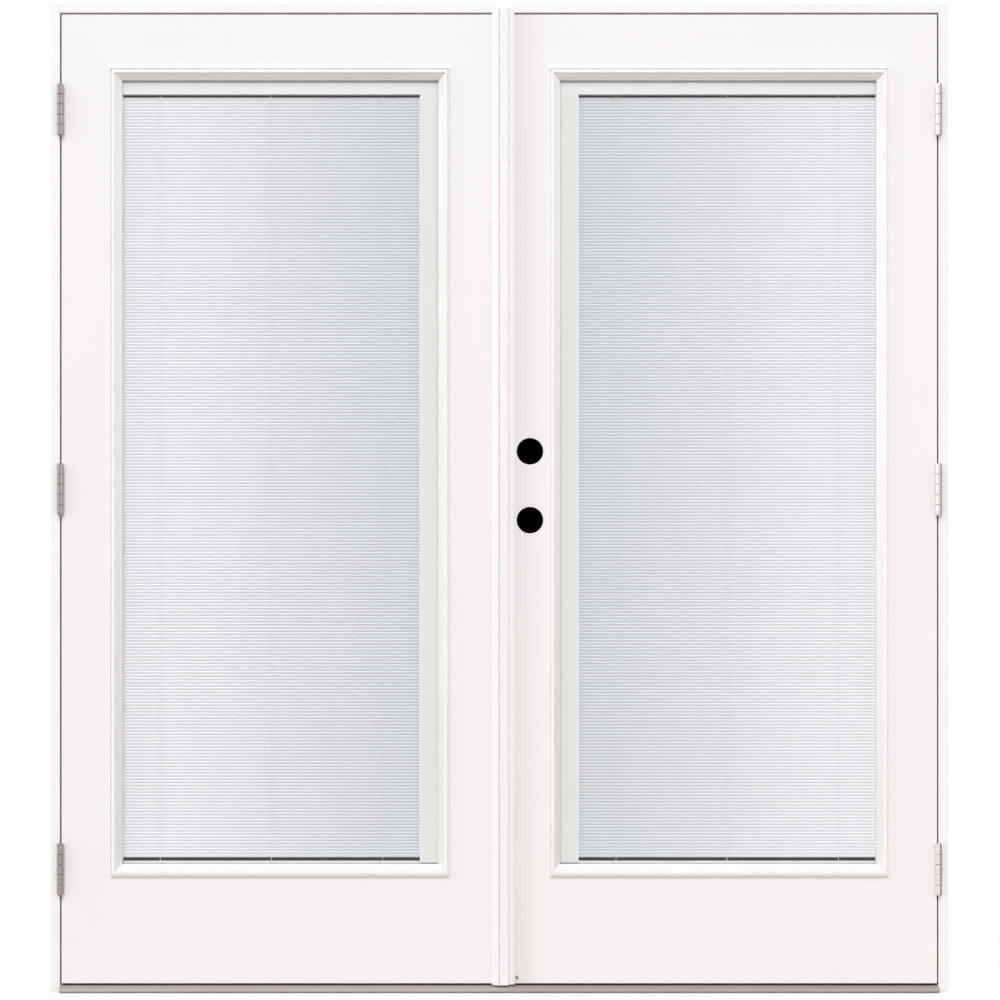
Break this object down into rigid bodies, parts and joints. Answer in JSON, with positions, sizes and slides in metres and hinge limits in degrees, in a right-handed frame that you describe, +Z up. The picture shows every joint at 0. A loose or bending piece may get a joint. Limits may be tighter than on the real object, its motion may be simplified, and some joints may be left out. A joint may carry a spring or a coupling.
{
  "type": "french doors",
  "caption": "Outswing french doors in a jamb frame with a low sill; full-lite leaves with blinds sealed between the panes, butt hinges, a split meeting strip and bored lock holes.",
  "frame": {"origin": "on the underside of the sill, midway between the jambs and at the middle of their depth", "axes": "+Z up, +X to the right seen from outside, -Y to the outdoor side that the leaves swing to"},
  "size_m": [1.82, 0.1293, 2.006],
  "materials": {
    "door_skin": "white painted skin",
    "frame_composite": "white composite",
    "stile_composite": "composite stile and rail stock",
    "foam": "rigid foam core",
    "lite_frame": "white moulded rim",
    "glass": "clear tempered",
    "spacer": "grey edge spacer",
    "blind_rail": "white enamelled",
    "blind_slat": "white enamelled slats",
    "ladder_tape": "braided polyester",
    "slider_plastic": "white moulded",
    "sweep_vinyl": "flexible vinyl",
    "strip_vinyl": "white strip",
    "hinge_metal": "satin nickel",
    "sill_aluminium": "mill finish",
    "sill_composite": "grey composite",
    "seal_foam": "black foam weatherstrip"
  },
  "bodies": {
    "frame": {"head_jamb": "frame_composite", "head_strike": "hinge_metal", "sill_deck": "sill_aluminium", "sill_bumper": "sill_composite", "sill_base": "sill_composite", "sill_seal": "seal_foam", "frame_seals": "seal_foam", "hinge_pins": "hinge_metal", "left_jamb": "frame_composite", "left_hinge_jamb_plates": "hinge_metal", "right_jamb": "frame_composite", "right_hinge_jamb_plates": "hinge_metal"},
    "left_leaf": {"left_outdoor_skin": "door_skin", "left_indoor_skin": "door_skin", "left_hinge_stile": "stile_composite", "left_lock_stile": "stile_composite", "left_top_rail": "stile_composite", "left_bottom_rail": "stile_composite", "left_foam_core": "foam", "left_outdoor_lite_frame": "lite_frame", "left_indoor_lite_frame": "lite_frame", "left_outdoor_pane": "glass", "left_indoor_pane": "glass", "left_glass_spacer": "spacer", "left_blind_head_rail": "blind_rail", "left_blind_side_rail": "blind_rail", "left_blind_slats": "blind_slat", "left_ladder_cords": "ladder_tape", "left_door_sweep": "sweep_vinyl", "left_meeting_strip": "strip_vinyl", "left_hinge_leaf_plates": "hinge_metal", "lock_strikes": "hinge_metal"},
    "left_blind_rail": {"left_blind_bottom_rail": "blind_rail"},
    "left_lift": {"left_lift_slider": "slider_plastic"},
    "left_tilt": {"left_tilt_slider": "slider_plastic"},
    "right_leaf": {"right_outdoor_skin": "door_skin", "right_indoor_skin": "door_skin", "right_hinge_stile": "stile_composite", "right_lock_stile": "stile_composite", "right_top_rail": "stile_composite", "right_bottom_rail": "stile_composite", "right_foam_core": "foam", "right_outdoor_lite_frame": "lite_frame", "right_indoor_lite_frame": "lite_frame", "right_outdoor_pane": "glass", "right_indoor_pane": "glass", "right_glass_spacer": "spacer", "right_blind_head_rail": "blind_rail", "right_blind_side_rail": "blind_rail", "right_blind_slats": "blind_slat", "right_ladder_cords": "ladder_tape", "right_door_sweep": "sweep_vinyl", "right_meeting_strip": "strip_vinyl", "right_hinge_leaf_plates": "hinge_metal"},
    "right_blind_rail": {"right_blind_bottom_rail": "blind_rail"},
    "right_lift": {"right_lift_slider": "slider_plastic"},
    "right_tilt": {"right_tilt_slider": "slider_plastic"},
    "top_bolt": {"top_flush_bolt": "hinge_metal"},
    "bottom_bolt": {"bottom_flush_bolt": "hinge_metal"}
  },
  "joints": [
    {"name": "left_leaf_swing", "type": "hinge", "parent": "frame", "child": "left_leaf", "pos_m": [-0.8895, -0.0648, 1], "axis": [0, 0, -1], "range_deg": [0, 170]},
    {"name": "left_blind_lift", "type": "slide", "parent": "left_leaf", "child": "left_lift", "axis": [0, 0, -1], "range_m": [0, 1.43]},
    {"name": "left_blind_rise", "type": "slide", "parent": "left_leaf", "child": "left_blind_rail", "axis": [0, 0, 1], "range_m": [0, 1.43], "deforming": ["left_blind_slats", "left_ladder_cords"]},
    {"name": "left_blind_tilt", "type": "slide", "parent": "left_leaf", "child": "left_tilt", "axis": [0, 0, -1], "range_m": [0, 0.08]},
    {"name": "right_leaf_swing", "type": "hinge", "parent": "frame", "child": "right_leaf", "pos_m": [0.8895, -0.0648, 1], "axis": [0, 0, 1], "range_deg": [0, 170]},
    {"name": "right_blind_lift", "type": "slide", "parent": "right_leaf", "child": "right_lift", "axis": [0, 0, -1], "range_m": [0, 1.43]},
    {"name": "right_blind_rise", "type": "slide", "parent": "right_leaf", "child": "right_blind_rail", "axis": [0, 0, 1], "range_m": [0, 1.43], "deforming": ["right_blind_slats", "right_ladder_cords"]},
    {"name": "right_blind_tilt", "type": "slide", "parent": "right_leaf", "child": "right_tilt", "axis": [0, 0, -1], "range_m": [0, 0.08]},
    {"name": "top_bolt_slide", "type": "slide", "parent": "left_leaf", "child": "top_bolt", "axis": [0, 0, 1], "range_m": [0, 0.014]},
    {"name": "bottom_bolt_slide", "type": "slide", "parent": "left_leaf", "child": "bottom_bolt", "axis": [0, 0, -1], "range_m": [0, 0.014]}
  ],
  "couplings": [
    {"joint": "left_blind_rise", "follows": "left_blind_lift", "ratio": 1},
    {"joint": "right_blind_rise", "follows": "right_blind_lift", "ratio": 1}
  ]
}
